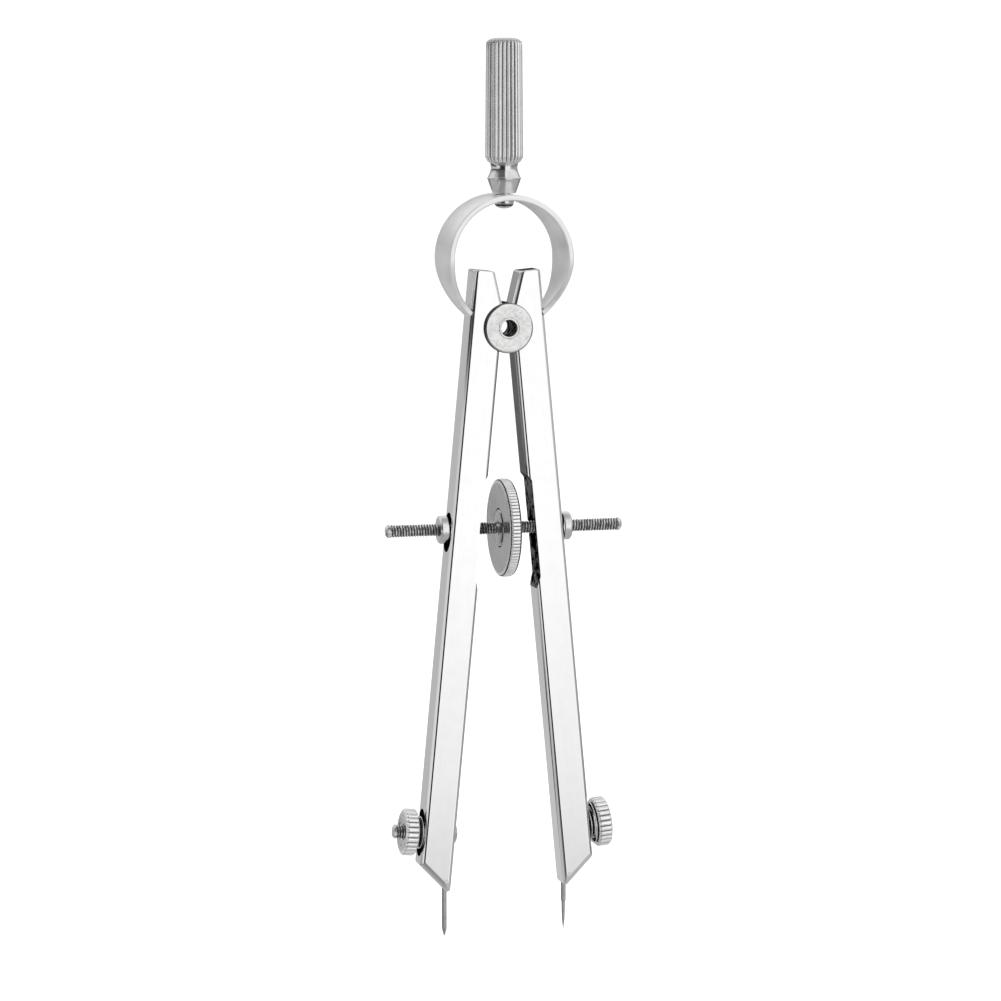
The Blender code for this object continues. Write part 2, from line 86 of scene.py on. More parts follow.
def clamp_frame(side):
    """On the clamp screw's axis, with height zero on the hinge's u = 0 line."""
    axis = CLAMP_AXIS[side]
    place = Vector(CLAMP_JOINT[side]["pos_m"])
    origin = place - axis * (place - PIVOT).dot(axis)
    return axis_frame(origin, axis)


def node_size(node):
    low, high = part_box(node)
    return high - low


def leg_limits(side):
    """Lowest and highest (u, y, v) of a leg's CAD node, in the leg's own axes."""
    back = leg_frame(side).inverted()
    seen = [back @ v.co for v in frame["nodes"][LEG_NODE[side]].data.vertices]
    us = [side * p.x for p in seen]
    vs = [-p.z for p in seen]
    ys = [p.y for p in seen]
    return (min(us), min(ys), min(vs)), (max(us), max(ys), max(vs))


# ---------------------------------------------------------------- materials

class Nodes:
    """Short calls for building one node tree."""

    def __init__(self, tree):
        self.tree = tree
        self.tree.nodes.clear()

    def add(self, kind, **settings):
        node = self.tree.nodes.new(kind)
        for key, value in settings.items():
            setattr(node, key, value)
        return node

    def link(self, source, target):
        self.tree.links.new(source, target)

    def math(self, operation, a, b=None):
        node = self.add("ShaderNodeMath", operation=operation)
        for socket, value in zip(node.inputs, (a, b)):
            if value is None:
                continue
            if isinstance(value, (int, float)):
                socket.default_value = value
            else:
                self.link(value, socket)
        return node.outputs[0]

    def noise(self, coords, scale, detail=3.0, rough=0.55):
        node = self.add("ShaderNodeTexNoise")
        node.inputs["Scale"].default_value = scale
        node.inputs["Detail"].default_value = detail
        node.inputs["Roughness"].default_value = rough
        self.link(coords, node.inputs["Vector"])
        return node.outputs["Fac"]

    def stretched(self, coords, factors):
        node = self.add("ShaderNodeVectorMath", operation="MULTIPLY")
        self.link(coords, node.inputs[0])
        node.inputs[1].default_value = factors
        return node.outputs[0]

    def remap(self, value, low, high, to_low, to_high):
        node = self.add("ShaderNodeMapRange")
        node.inputs["From Min"].default_value = low
        node.inputs["From Max"].default_value = high
        node.inputs["To Min"].default_value = to_low
        node.inputs["To Max"].default_value = to_high
        self.link(value, node.inputs["Value"])
        return node.outputs["Result"]

    def ramp(self, value, stops):
        node = self.add("ShaderNodeValToRGB")
        elements = node.color_ramp.elements
        while len(elements) < len(stops):
            elements.new(0.5)
        for element, (place, grey) in zip(elements, stops):
            element.position = place
            element.color = (*grey, 1.0) if isinstance(grey, tuple) else (grey, grey, grey, 1.0)
        self.link(value, node.inputs["Fac"])
        return node.outputs["Color"]


def metal(name, dark, light, rough, marks, mark_scale, bump, groove=None, broad_scale=420.0,
          spread=0.18, metallic=1.0, edge=1.0):
    """A plated or turned metal.

    dark and light bound its colour, rough bounds its roughness, marks stretches the polishing
    or turning marks, and groove, where given, is painted shade, the darker colour down in teeth
    and threads.
    broad_scale sets the size of its cloudy patches, and a smaller spread makes them bolder.
    A satin finish scatters, so its metallic is below 1. A low edge darkens glancing views.
    """
    made = bpy.data.materials.new(name)
    made.use_nodes = True
    n = Nodes(made.node_tree)
    coords = n.add("ShaderNodeTexCoord").outputs["Object"]
    broad = n.noise(coords, broad_scale, 4.0)
    lines = n.noise(n.stretched(coords, marks), mark_scale, 5.0, 0.65)
    fine = n.noise(coords, 9000.0, 2.0)
    blend = n.math("ADD", n.math("MULTIPLY", broad, 0.6), n.math("MULTIPLY", lines, 0.4))
    colour = n.ramp(blend, [(0.5 - spread, dark), (0.5 + spread, light)])
    # Painted shade down in teeth and threads, as deep as the groove attribute says.
    if groove is not None:
        depth = n.add("ShaderNodeAttribute", attribute_name="groove").outputs["Fac"]
        mix = n.add("ShaderNodeMix", data_type="RGBA")
        n.link(n.remap(depth, 0.25, 0.95, 0.0, 1.0), mix.inputs["Factor"])
        n.link(colour, mix.inputs["A"])
        mix.inputs["B"].default_value = (*groove, 1.0)
        colour = mix.outputs["Result"]
    shader = n.add("ShaderNodeBsdfPrincipled")
    shader.inputs["Metallic"].default_value = metallic
    shader.inputs["Specular Tint"].default_value = (edge, edge, edge, 1.0)
    n.link(colour, shader.inputs["Base Color"])
    worn = n.math("ADD", n.math("MULTIPLY", broad, 0.5), n.math("MULTIPLY", lines, 0.5))
    n.link(n.remap(worn, 0.3, 0.7, rough[0], rough[1]), shader.inputs["Roughness"])
    relief = n.math("ADD", n.math("MULTIPLY", lines, 0.7), n.math("MULTIPLY", fine, 0.3))
    bumps = n.add("ShaderNodeBump")
    bumps.inputs["Strength"].default_value = 1.0
    bumps.inputs["Distance"].default_value = bump
    n.link(relief, bumps.inputs["Height"])
    n.link(bumps.outputs["Normal"], shader.inputs["Normal"])
    out = n.add("ShaderNodeOutputMaterial")
    n.link(shader.outputs["BSDF"], out.inputs["Surface"])
    return made


RINGS = (0.15, 0.15, 6.0)
ALONG_Y = (0.12, 8.0, 0.12)
ALONG_Z = (5.0, 5.0, 0.08)
EVEN = (1.0, 1.0, 1.0)
# Each groove colour below is painted shade down in teeth and threads.
GRIP_NICKEL = metal("grip_nickel", (0.80, 0.80, 0.80), (0.98, 0.98, 0.97), (0.20, 0.32),
                    ALONG_Z, 900.0, 0.000004, groove=(0.24, 0.24, 0.24), metallic=0.88)
NECK_NICKEL = metal("neck_nickel", (0.72, 0.72, 0.72), (0.86, 0.86, 0.85), (0.09, 0.20),
                    RINGS, 900.0, 0.000003)
HOOP_STEEL = metal("hoop_steel", (0.72, 0.72, 0.72), (0.82, 0.82, 0.82), (0.30, 0.40),
                   ALONG_Y, 500.0, 0.000004, metallic=0.80)
LEG_CHROME = metal("leg_chrome", (0.90, 0.90, 0.905), (0.95, 0.95, 0.953), (0.03, 0.06),
                   ALONG_Z, 300.0, 0.0000004)
BARE_CUT = metal("bare_cut", (0.002, 0.002, 0.002), (0.50, 0.50, 0.49), (0.30, 0.60),
                 EVEN, 2600.0, 0.00006, broad_scale=800.0, spread=0.04, edge=0.12)
GROUND_FLANK = metal("ground_flank", (0.30, 0.30, 0.30), (0.52, 0.52, 0.52), (0.15, 0.30),
                     ALONG_Z, 900.0, 0.000006, edge=0.4)
# Near-black painted shade on rims, under heads, on faces towards the legs and in the clamp
# pockets.
PAINTED_EDGE_SHADE = metal("painted_edge_shade", (0.05, 0.05, 0.05), (0.16, 0.16, 0.16), (0.35, 0.5),
                 EVEN, 1500.0, 0.00001)
# Black painted shade inside slots, holes and bores, and along the wheel's face edge.
PAINTED_SLOT_SHADE = metal("painted_slot_shade", (0.012, 0.012, 0.012), (0.05, 0.05, 0.05), (0.5, 0.7),
                   EVEN, 1500.0, 0.00002)
DISC_NICKEL = metal("disc_nickel", (0.62, 0.62, 0.62), (0.94, 0.94, 0.93), (0.22, 0.36),
                    EVEN, 1800.0, 0.00004, broad_scale=1500.0, spread=0.12)
BRIGHT_NICKEL = metal("bright_nickel", (0.72, 0.72, 0.72), (0.88, 0.88, 0.87), (0.10, 0.20),
                      RINGS, 900.0, 0.000003)
KNURLED_NICKEL = metal("knurled_nickel", (0.74, 0.74, 0.74), (0.95, 0.95, 0.94), (0.12, 0.24),
                       RINGS, 900.0, 0.000004, groove=(0.14, 0.14, 0.14), metallic=0.8)
WHEEL_STEEL = metal("wheel_steel", (0.52, 0.52, 0.52), (0.72, 0.72, 0.72), (0.18, 0.28),
                    RINGS, 900.0, 0.000004, groove=(0.04, 0.04, 0.04))
THREAD_STEEL = metal("thread_steel", (0.20, 0.20, 0.20), (0.92, 0.92, 0.92), (0.22, 0.38),
                     EVEN, 1400.0, 0.00002, groove=(0.05, 0.05, 0.05), broad_scale=1500.0,
                     spread=0.08, metallic=0.80)
NEEDLE_STEEL = metal("needle_steel", (0.50, 0.50, 0.51), (0.72, 0.72, 0.73), (0.07, 0.14),
                     ALONG_Z, 900.0, 0.000004)


# ---------------------------------------------------------------- modelling helpers

CORNER_STEPS = 4
ROWS_PER_PITCH = 8


def finish_mesh(shape, name, sharp=34.0):
    mesh = bpy.data.meshes.new(name)
    bmesh.ops.recalc_face_normals(shape, faces=shape.faces)
    shape.to_mesh(mesh)
    shape.free()
    mesh.shade_smooth()
    mesh.set_sharp_from_angle(angle=math.radians(sharp))
    return mesh


def add_piece(name, mesh, materials, body, node, place=None, ride=True):
    """Links a piece that stands for one CAD node and rides on its body."""
    piece = bpy.data.objects.new(name, mesh)
    bpy.context.scene.collection.objects.link(piece)
    for material in materials:
        if material.name not in mesh.materials:
            mesh.materials.append(material)
    if place is not None:
        piece.matrix_world = place
    if ride:
        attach(piece, body)
    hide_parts(node)
    return piece


def soften(profile, closed):
    """Rounds a profile's corners. A point is (radius, height, rounding, tooth depth, material)."""
    points = [tuple(p) + (0.0, 0.0, 0)[len(p) - 2:] for p in profile]
    count = len(points)
    result = []
    for i, (r, h, rounding, depth, material) in enumerate(points):
        ends = not closed and i in (0, count - 1)
        if ends or rounding <= 0:
            result.append((r, h, depth, material))
            continue
        here = Vector((r, h))
        before = Vector(points[i - 1][:2])
        after = Vector(points[(i + 1) % count][:2])
        reach_in = min(rounding, 0.45 * (before - here).length)
        reach_out = min(rounding, 0.45 * (after - here).length)
        first = here + (before - here).normalized() * reach_in
        last = here + (after - here).normalized() * reach_out
        for step in range(CORNER_STEPS + 1):
            t = step / CORNER_STEPS
            bend = first * (1 - t) ** 2 + here * 2 * t * (1 - t) + last * t * t
            result.append((bend.x, bend.y, depth, material))
    return result


def lathe(profile, steps, closed=False, cut=None):
    """A turned shape about Z: profile from the top, down the outer side, to the bottom.

    cut(angle, height) is 0 on a crest and 1 in a groove, and each profile point says how deep
    its grooves are. The depth is kept in the groove attribute, which the metals read to paint
    shade down in the grooves.
    """
    rows = soften(profile, closed)
    deepest = max((row[2] for row in rows), default=0.0)
    shape = bmesh.new()
    groove = shape.verts.layers.float.new("groove")
    rings = []
    for r, h, depth, _ in rows:
        if r < 1e-7:
            rings.append([shape.verts.new((0, 0, h))])
            continue
        ring = []
        for i in range(steps):
            angle = 2 * math.pi * i / steps
            low = cut(angle, h) if cut and depth > 0 else 0.0
            reach = r - depth * low
            vert = shape.verts.new((reach * math.cos(angle), reach * math.sin(angle), h))
            vert[groove] = low * depth / deepest if deepest else 0.0
            ring.append(vert)
        rings.append(ring)
    pairs = list(zip(rings, rings[1:], rows))
    if closed:
        pairs.append((rings[-1], rings[0], rows[-1]))
    for upper, lower, row in pairs:
        for i in range(steps):
            j = (i + 1) % steps
            corners = [upper[i % len(upper)], lower[i % len(lower)],
                       lower[j % len(lower)], upper[j % len(upper)]]
            face = shape.faces.new(list(dict.fromkeys(corners)))
            face.material_index = row[3]
    return shape


def teeth(count, land=0.35, twist=0.0):
    """Straight teeth: a rounded crest and a narrow groove between neighbours."""
    def cut(angle, height):
        share = (angle * count / (2 * math.pi) + twist * height) % 1.0
        from_crest = abs(share - 0.5) * 2
        return max(0.0, (from_crest - land) / (1 - land)) ** 1.4
    return cut


def thread(pitch, hand):
    """A helical V thread. Looking along +Z, hand 1 is right-handed."""
    def cut(angle, height):
        share = (height / pitch - hand * angle / (2 * math.pi)) % 1.0
        return min(1.0, 1.25 * abs(2 * share - 1))
    return cut


def threaded_rows(radius, top, bottom, pitch, depth, runout, material=0):
    """Profile rows close enough together for a thread, which fades in over runout at both ends."""
    count = max(2, round((top - bottom) / (pitch / ROWS_PER_PITCH)))
    rows = []
    for i in range(count + 1):
        h = top + (bottom - top) * i / count
        fade = min(1.0, (top - h) / runout + 0.05, (h - bottom) / runout + 0.05)
        rows.append((radius, h, 0.0, depth * fade, material))
    return rows


def prism(outline, half_depth):
    """A solid with the given (x, z) outline, from -half_depth to half_depth in Y."""
    shape = bmesh.new()
    front = [shape.verts.new((x, -half_depth, z)) for x, z in outline]
    rear = [shape.verts.new((x, half_depth, z)) for x, z in outline]
    shape.faces.new(front)
    shape.faces.new(list(reversed(rear)))
    count = len(outline)
    for i in range(count):
        j = (i + 1) % count
        shape.faces.new((front[i], rear[i], rear[j], front[j]))
    bmesh.ops.recalc_face_normals(shape, faces=shape.faces)
    return shape


def carve(target, cutters):
    """Cuts every cutter out of target, keeping each cutter's material on the new faces."""
    for cutter in cutters:
        step = target.modifiers.new("cut", "BOOLEAN")
        step.operation = "DIFFERENCE"
        step.solver = "EXACT"
        step.material_mode = "TRANSFER"
        step.object = cutter
    bpy.context.view_layer.update()
    seen = target.evaluated_get(bpy.context.evaluated_depsgraph_get())
    mesh = bpy.data.meshes.new_from_object(seen)
    target.modifiers.clear()
    target.data = mesh
    for cutter in cutters:
        bpy.data.objects.remove(cutter)


def loose(name, mesh, material, place=None):
    """A helper object that rides on no body, such as a cutter, which is removed once used, or the
    floor.
    """
    made = bpy.data.objects.new(name, mesh)
    bpy.context.scene.collection.objects.link(made)
    if not mesh.materials:
        mesh.materials.append(material)
    if place is not None:
        made.matrix_world = place
    return made


# ---------------------------------------------------------------- handle

GRIP_RIDGES = 26
GRIP_BANDS = 12


def make_handle():
    low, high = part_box("handle")
    top, foot = high.z, low.z
    crest = node_size("handle").x / 2
    grip_end = PIVOT.z + 28.9 * MM
    flange = PIVOT.z + 26.15 * MM
    depth = 0.26 * MM
    top_r = crest - 0.18 * MM
    shoulder = top - 1.1 * MM
    skirt = grip_end + 1.0 * MM
    profile = [
        (0, top, 0, 0, 2),
        (1.4 * MM, top, 0.5 * MM, 0, 2),
        (2.45 * MM, top - 0.2 * MM, 0.4 * MM, depth * 0.1, 2),
        (top_r - 0.14 * MM, top - 0.6 * MM, 0.35 * MM, depth * 0.6, 2),
        (top_r, shoulder, 0.4 * MM, depth),
    ]
    for i in range(1, GRIP_BANDS):
        share = i / GRIP_BANDS
        profile.append((top_r + (crest - top_r) * share, shoulder + (skirt - shoulder) * share,
                        0, depth))
    profile += [
        (crest, skirt, 0.3 * MM, depth),
        (crest - 0.5 * MM, grip_end + 0.15 * MM, 0.1 * MM, depth * 0.7, 1),
        (2.5 * MM, grip_end, 0.12 * MM, 0, 1),
        (2.36 * MM, grip_end - 0.6 * MM, 0.3 * MM, 0, 1),
        (2.36 * MM, grip_end - 1.35 * MM, 0.6 * MM, 0, 1),
        (2.88 * MM, flange + 0.22 * MM, 0.1 * MM, 0, 1),
        (2.97 * MM, flange + 0.12 * MM, 0.06 * MM, 0, 1),
        (2.97 * MM, flange - 0.05 * MM, 0.05 * MM, 0, 1),
        (2.1 * MM, foot + 0.12 * MM, 0.05 * MM, 0, 1),
        (2.0 * MM, foot, 0.03 * MM, 0, 1),
        (1.25 * MM, foot, 0, 0, 1),
        (1.25 * MM, foot + 5 * MM, 0, 0, 1),
        (0, foot + 5.4 * MM, 0, 0, 1),
    ]
    shape = lathe(profile, GRIP_RIDGES * 12, cut=teeth(GRIP_RIDGES, 0.12))
    mesh = finish_mesh(shape, "handle_detail", 60)
    add_piece("handle_knurled", mesh, [GRIP_NICKEL, NECK_NICKEL, WHEEL_STEEL], "head", "handle")


def make_handle_screw():
    low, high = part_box("handle_screw")
    head_r = node_size("handle_screw").x / 2
    seat = low.z + 1.2 * MM
    # Material 1, on the bevel under the head, is painted shade.
    profile = [
        (0, high.z),
        (0.8 * MM, high.z, 0.1 * MM),
        (1.1 * MM, high.z - 0.4 * MM, 0.1 * MM),
        (1.1 * MM, seat, 0.05 * MM),
        (head_r, seat, 0.08 * MM),
        (head_r, seat - 0.4 * MM, 0.15 * MM),
        (head_r - 0.15 * MM, low.z + 0.35 * MM, 0.25 * MM, 0, 1),
        (head_r - 0.45 * MM, low.z + 0.05 * MM, 0.25 * MM),
        (head_r - 1.1 * MM, low.z - 0.2 * MM, 0.4 * MM),
        (0, low.z - 0.25 * MM),
    ]
    shape = lathe(profile, 64)
    mesh = finish_mesh(shape, "handle_screw_detail")
    add_piece("handle_screw_round", mesh, [BRIGHT_NICKEL, PAINTED_EDGE_SHADE], "head", "handle_screw")


# ---------------------------------------------------------------- hoop spring

HOOP_STEPS = 200
HOOP_END = math.radians(146)
HOOP_TAPER_START = math.radians(88)
HOOP_TAPER_END = math.radians(148)
HOOP_MID_R = 10.8 * MM
HOOP_WALL = 1.0 * MM
HOOP_GROWTH = 0.85 * MM
HOOP_END_WIDTH = 4.6 * MM


def hoop_half_width(late):
    full = node_size("ring_spring").y
    smooth = late * late * (3 - 2 * late)
    return (full + (HOOP_END_WIDTH - full) * smooth) / 2


def hoop_section(half_width):
    """Rounded rectangle of the band, as (across the wall, along Y) points."""
    half_wall = HOOP_WALL / 2
    rounding = 0.2 * MM
    points = []
    for side_w, side_y, first in ((1, 1, 0.0), (-1, 1, 0.5), (-1, -1, 1.0), (1, -1, 1.5)):
        for i in range(5):
            angle = math.pi * (first + i / 8)
            points.append((side_w * (half_wall - rounding) + rounding * math.cos(angle),
                           side_y * (half_width - rounding) + rounding * math.sin(angle)))
    return points


def make_hoop_half(side):
    """Half of the hoop, from the screw round to the leg, as one sweep of the band's section.

    The hoop flexes as the legs turn; here it is one fixed piece that rides on no body.
    """
    centre = Vector((0, 0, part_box("ring_spring")[1].z - HOOP_MID_R - HOOP_WALL / 2))
    shape = bmesh.new()
    rings = []
    for i in range(HOOP_STEPS // 2 + 1):
        angle = HOOP_END * i / (HOOP_STEPS // 2)
        late = max(0.0, (angle - HOOP_TAPER_START) / (HOOP_TAPER_END - HOOP_TAPER_START))
        radius = HOOP_MID_R + HOOP_GROWTH * late**2
        ring = []
        for across, y in hoop_section(hoop_half_width(late)):
            reach = radius + across
            spot = centre + Vector((side * reach * math.sin(angle), y, reach * math.cos(angle)))
            ring.append(shape.verts.new(spot))
        rings.append(ring)
    count = len(rings[0])
    for a, b in zip(rings, rings[1:]):
        for i in range(count):
            j = (i + 1) % count
            shape.faces.new((a[i], a[j], b[j], b[i]))
    shape.faces.new(rings[0])
    shape.faces.new(list(reversed(rings[-1])))
    mesh = finish_mesh(shape, "hoop")
    name = "hoop_left" if side < 0 else "hoop_right"
    hoop = add_piece(name, mesh, [HOOP_STEEL], "head", "ring_spring", ride=False)
    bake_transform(hoop)


# ---------------------------------------------------------------- fulcrum

def make_fulcrum():
    disc_r = node_size("pivot_disc_front").x / 2
    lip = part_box("pivot_rivet")[1].y
    for name, node, sign in (("disc_front", "pivot_disc_front", -1),
                             ("disc_rear", "pivot_disc_rear", 1)):
        low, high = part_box(node)
        inner = min(abs(low.y), abs(high.y))
        outer = max(abs(low.y), abs(high.y))
        # Material 1, on the disc's rim, is painted shade.
        profile = [
            (1.86 * MM, outer, 0.04 * MM),
            (disc_r - 0.32 * MM, outer, 0.12 * MM, 0, 2),
            (disc_r - 0.07 * MM, outer - 0.14 * MM, 0.06 * MM, 0, 1),
            (disc_r, outer - 0.3 * MM, 0.08 * MM, 0, 1),
            (disc_r, inner, 0.04 * MM, 0, 1),
            (1.95 * MM, inner),
            (1.95 * MM, outer - 0.35 * MM),
            (1.86 * MM, outer - 0.2 * MM),
        ]
        mesh = finish_mesh(lathe(profile, 128, closed=True), name)
        place = axis_frame(PIVOT, (0, sign, 0))
        add_piece(name, mesh, [DISC_NICKEL, PAINTED_EDGE_SHADE, BRIGHT_NICKEL], "head", node,
                  place)
    rivet = [
        (1.52 * MM, lip, 0.06 * MM),
        (1.84 * MM, lip - 0.02 * MM, 0.04 * MM),
        (1.8 * MM, lip - 0.45 * MM),
        (1.8 * MM, 0.45 * MM - lip),
        (1.84 * MM, 0.02 * MM - lip, 0.04 * MM),
        (1.52 * MM, -lip, 0.06 * MM),
        (1.42 * MM, 0.14 * MM - lip, 0.06 * MM, 0, 1),
        (1.42 * MM, lip - 0.14 * MM, 0.06 * MM),
    ]
    mesh = finish_mesh(lathe(rivet, 96, closed=True), "rivet")
    place = axis_frame(PIVOT, (0, 1, 0))
    add_piece("rivet_tube", mesh, [DISC_NICKEL, BARE_CUT], "head", "pivot_rivet",
              place)
    half = node_size("fulcrum_roller").y / 2
    roller = [
        (2.4 * MM, half, 0.1 * MM),
        (2.4 * MM, -half, 0.1 * MM),
        (1.92 * MM, -half),
        (1.92 * MM, half),
    ]
    mesh = finish_mesh(lathe(roller, 96, closed=True), "roller")
    add_piece("roller_tube", mesh, [NECK_NICKEL], "head", "fulcrum_roller", place)


# ---------------------------------------------------------------- spindle, wheel and nuts

WHEEL_TEETH = 84


def make_spindle():
    half = node_size("spindle").x / 2
    radius = node_size("spindle").z / 2
    pitch = 0.5 * MM
    depth = 0.2 * MM
    chamfer = 0.4 * MM
    right_cut, left_cut = thread(pitch, -1), thread(pitch, 1)

    def cut(angle, height):
        return right_cut(angle, height) if height > 0 else left_cut(angle, height)

    wheel_half = node_size("wheel_hub").x / 2
    profile = [(0, half), (radius - chamfer, half, 0.08 * MM)]
    profile += threaded_rows(radius, half - chamfer, wheel_half, pitch, depth, 1.5 * pitch)
    profile += threaded_rows(radius, -wheel_half, chamfer - half, pitch, depth, 1.5 * pitch)
    profile += [(radius - chamfer, -half, 0.08 * MM), (0, -half)]
    mesh = finish_mesh(lathe(profile, 48, cut=cut), "spindle_detail", 60)
    place = axis_frame(SPINDLE, (1, 0, 0))
    add_piece("spindle_threaded", mesh, [THREAD_STEEL], "wheel_and_spindle", "spindle",
              place)


def make_wheel():
    radius = node_size("adjusting_wheel").z / 2
    half = node_size("adjusting_wheel").x / 2
    depth = 0.2 * MM
    bore = 3.42 * MM

    def face_rows(sign):
        # Material 1 is painted shade, in the bore and in a thin line where the face meets the
        # teeth.
        rows = [
            (bore, sign * (half - 0.2 * MM), 0, 0, 1),
            (bore + 0.08 * MM, sign * (half - 0.2 * MM), 0.03 * MM, 0, 1),
            (bore + 0.14 * MM, sign * (half - 0.06 * MM), 0.04 * MM),
            (radius - 0.85 * MM, sign * (half - 0.06 * MM), 0.05 * MM),
            (radius - 0.75 * MM, sign * half, 0.06 * MM, 0, 2),
            (radius - 0.35 * MM, sign * (half - 0.03 * MM), 0.1 * MM, depth * 0.3, 2),
            (radius - 0.15 * MM, sign * (half - 0.17 * MM), 0.08 * MM, depth * 0.5, 1),
            (radius - 0.05 * MM, sign * (half - 0.40 * MM), 0.04 * MM, depth * 0.8, 2),
            (radius, sign * (half - 0.60 * MM), 0.08 * MM, depth, 2),
        ]
        return rows if sign > 0 else list(reversed(rows))

    profile = face_rows(1) + face_rows(-1)
    shape = lathe(profile, WHEEL_TEETH * 8, closed=True, cut=teeth(WHEEL_TEETH, 0.4))
    mesh = finish_mesh(shape, "wheel_detail", 60)
    place = axis_frame(SPINDLE, (1, 0, 0))
    add_piece("wheel_knurled", mesh, [WHEEL_STEEL, PAINTED_SLOT_SHADE, KNURLED_NICKEL],
              "wheel_and_spindle", "adjusting_wheel", place)
    hub_r = node_size("wheel_hub").z / 2
    hub_half = node_size("wheel_hub").x / 2
    hub = [
        (1.27 * MM, hub_half - 0.15 * MM),
        (1.45 * MM, hub_half - 0.02 * MM, 0.06 * MM),
        (hub_r - 0.25 * MM, hub_half - 0.12 * MM, 0.08 * MM),
        (hub_r, hub_half - 0.3 * MM, 0.05 * MM),
        (hub_r, 0.3 * MM - hub_half, 0.05 * MM),
        (hub_r - 0.25 * MM, 0.12 * MM - hub_half, 0.08 * MM),
        (1.45 * MM, 0.02 * MM - hub_half, 0.06 * MM),
        (1.27 * MM, 0.15 * MM - hub_half),
    ]
    mesh = finish_mesh(lathe(hub, 96, closed=True), "hub_detail")
    add_piece("wheel_hub_turned", mesh, [WHEEL_STEEL], "wheel_and_spindle", "wheel_hub",
              place)


def make_collar_nut(side):
    node = "left_nut" if side < 0 else "right_nut"
    low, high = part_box(node)
    reach = max(abs(low.x), abs(high.x))
    radius = (high.z - low.z) / 2
    length = 2.05 * MM
    face = reach - length
    bore = 1.18 * MM
    profile = [
        (bore, length - 0.12 * MM, 0, 0, 1),
        (1.3 * MM, length - 0.02 * MM, 0.04 * MM, 0, 1),
        (radius - 0.3 * MM, length, 0.06 * MM, 0, 1),
        (radius, length - 0.25 * MM, 0.14 * MM),
        (radius, 0.6 * MM, 0.15 * MM),
        (radius - 0.25 * MM, 0.36 * MM, 0.1 * MM),
        (1.9 * MM, 0.02 * MM, 0.12 * MM),
        (1.5 * MM, 0, 0.05 * MM),
        (1.4 * MM, -0.9 * MM, 0.1 * MM),
        (bore, -0.9 * MM),
    ]
    mesh = finish_mesh(lathe(profile, 96, closed=True), node + "_detail")
    place = axis_frame(Vector((side * face, 0, SPINDLE.z)), (side, 0, 0))
    body = "left_collar_nut" if side < 0 else "right_collar_nut"
    add_piece(node + "_collar", mesh, [BRIGHT_NICKEL, NECK_NICKEL], body, node,
              place)


# ---------------------------------------------------------------- legs

LONG_FILLET = 0.76 * MM
END_FILLET = 1.3 * MM
TOP_FILLET = 0.12 * MM
FILLET_DEPTH = 1.0 * MM
FILLET_STEPS = 8
FLANK_SHAVE = 0.02 * MM
SPINDLE_SLOT = (33.8 * MM, 40.3 * MM, 3.5 * MM)
NUT_SEAT = (33.5 * MM, 40.6 * MM, 4.6 * MM, 0.6 * MM)
CLAMP_POCKET = (8.6 * MM, 4.3 * MM, 1.2 * MM)
NEEDLE_HOLE_R = 0.56 * MM


def stadium(start, end, width, steps=14):
    radius = width / 2
    points = []
    for centre, first in ((end - radius, 0.0), (start + radius, math.pi)):
        for i in range(steps + 1):
            angle = first + math.pi * i / steps
            points.append((radius * math.cos(angle), centre + radius * math.sin(angle)))
    return points


def slot_cutter(side, start, end, width, low_u, high_u, material):
    """A round-ended slot across the leg, between two distances u."""
    shape = prism(stadium(-end, -start, width), (high_u - low_u) / 2)
    mesh = finish_mesh(shape, "slot")
    place = leg_frame(side) @ Matrix.Translation((side * (low_u + high_u) / 2, 0, 0))
    return loose("slot", mesh, material, place @ Matrix.Rotation(math.pi / 2, 4, "Z"))


def round_cutter(radius, low, high, place, material):
    shape = lathe([(0, high), (radius, high), (radius, low), (0, low)], 48)
    return loose("round", finish_mesh(shape, "round"), material, place)


def outline_cutter(side, reach, outline, material):
    """A cutter that reaches this far in front and behind, from its (u, v) outline."""
    shape = prism([(side * u, -v) for u, v in outline], reach)
    return loose("outline", finish_mesh(shape, "outline"), material, leg_frame(side))


def inset_outline(outline, insets):
    """The outline with each edge moved inwards by its own distance."""
    middle = sum(outline, Vector((0, 0))) / len(outline)
    lines = []
    for point, after, inset in zip(outline, outline[1:] + outline[:1], insets):
        along = (after - point).normalized()
        inward = Vector((-along.y, along.x))
        if inward.dot(middle - point) < 0:
            inward = -inward
        lines.append((point + inward * inset, along))
    corners = []
    for (a, along_a), (b, along_b) in zip(lines[-1:] + lines[:-1], lines):
        gap = b - a
        turn = along_a.x * along_b.y - along_a.y * along_b.x
        corners.append(a + along_a * (gap.x * along_b.y - gap.y * along_b.x) / turn)
    return corners


def round_corners(corners, radii, steps=6):
    points = []
    for i, (corner, radius) in enumerate(zip(corners, radii)):
        back = (corners[i - 1] - corner).normalized()
        ahead = (corners[(i + 1) % len(corners)] - corner).normalized()
        half_angle = back.angle(ahead) / 2
        start = back * (radius / math.tan(half_angle))
        end = ahead * (radius / math.tan(half_angle))
        centre = (back + ahead).normalized() * (radius / math.sin(half_angle))
        sweep = math.pi - 2 * half_angle
        for k in range(steps + 1):
            share = k / steps
            first = math.sin((1 - share) * sweep) / math.sin(sweep)
            second = math.sin(share * sweep) / math.sin(sweep)
            points.append(corner + centre + (start - centre) * first + (end - centre) * second)
    return points


